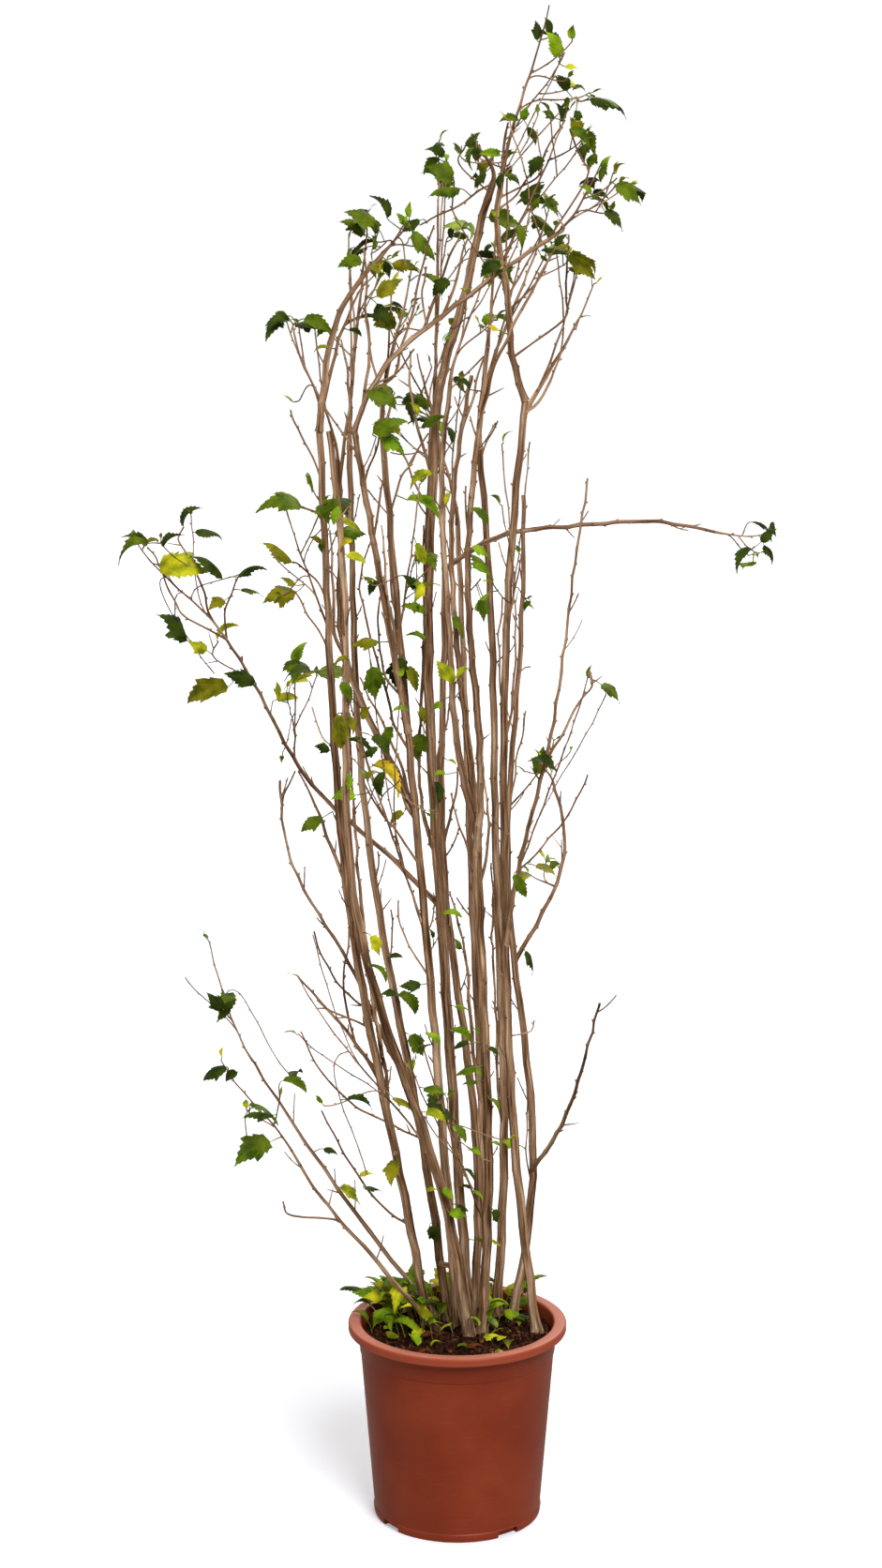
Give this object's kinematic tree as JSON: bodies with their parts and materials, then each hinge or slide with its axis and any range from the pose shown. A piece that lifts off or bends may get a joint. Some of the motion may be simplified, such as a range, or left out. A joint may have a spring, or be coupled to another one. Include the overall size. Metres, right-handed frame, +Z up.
{
  "type": "potted shrub",
  "caption": "Tall sparse rose of Sharon shrub with many thin stems and small lobed leaves, growing in a round terracotta coloured nursery pot filled with soil",
  "frame": {"origin": "middle of the pot's flat underside, which stands on the floor", "axes": "+Z runs up through the pot and the stems, -Y is the front seen in the picture, and +X is to the right seen from the front"},
  "size_m": [0.8664, 0.5824, 2.0309],
  "materials": {
    "pot": "moulded terracotta coloured plastic with a satin sheen",
    "soil": "dark brown crumbly potting soil",
    "bark": "grey brown bark with fine streaks and knobbly buds",
    "foliage": "green leaves with some yellowing ones, slightly glossy"
  },
  "bodies": {
    "root": {"bough_arching": "bark", "bough_crossing": "bark", "bough_fork_left": "bark", "bough_fork_middle": "bark", "bough_fork_right": "bark", "bough_left_inner": "bark", "bough_left_long": "bark", "bough_left_low": "bark", "bough_left_upper": "bark", "bough_right_bare": "bark", "bough_right_low": "bark", "bough_right_side": "bark", "bough_top_middle": "bark", "bough_top_right": "bark", "bough_upper_left": "bark", "leaves_arch_tip": "foliage", "leaves_back": "foliage", "leaves_back_left": "foliage", "leaves_back_top": "foliage", "leaves_centre": "foliage", "leaves_centre_mid": "foliage", "leaves_centre_top": "foliage", "leaves_far_left": "foliage", "leaves_foot": "foliage", "leaves_fork_right": "foliage", "leaves_front_top": "foliage", "leaves_leader": "foliage", "leaves_left_bough": "foliage", "leaves_left_cluster": "foliage", "leaves_left_heart": "foliage", "leaves_left_low": "foliage", "leaves_left_mid": "foliage", "leaves_low_back": "foliage", "leaves_low_front": "foliage", "leaves_low_right": "foliage", "leaves_mid_left_top": "foliage", "leaves_middle_low": "foliage", "leaves_right": "foliage", "leaves_right_mid": "foliage", "leaves_right_side": "foliage", "leaves_right_top": "foliage", "leaves_top_left": "foliage", "leaves_top_right": "foliage", "leaves_upper_left_back": "foliage", "leaves_upper_left_front": "foliage", "pot": "pot", "soil": "soil", "stem_back": "bark", "stem_forked": "bark", "stem_knuckled": "bark", "stem_left": "bark", "stem_left_back": "bark", "stem_left_front": "bark", "stem_low_back": "bark", "stem_low_front": "bark", "stem_middle": "bark", "stem_middle_back": "bark", "stem_right": "bark", "stem_right_back": "bark", "stem_right_thin": "bark"}
  },
  "joints": []
}
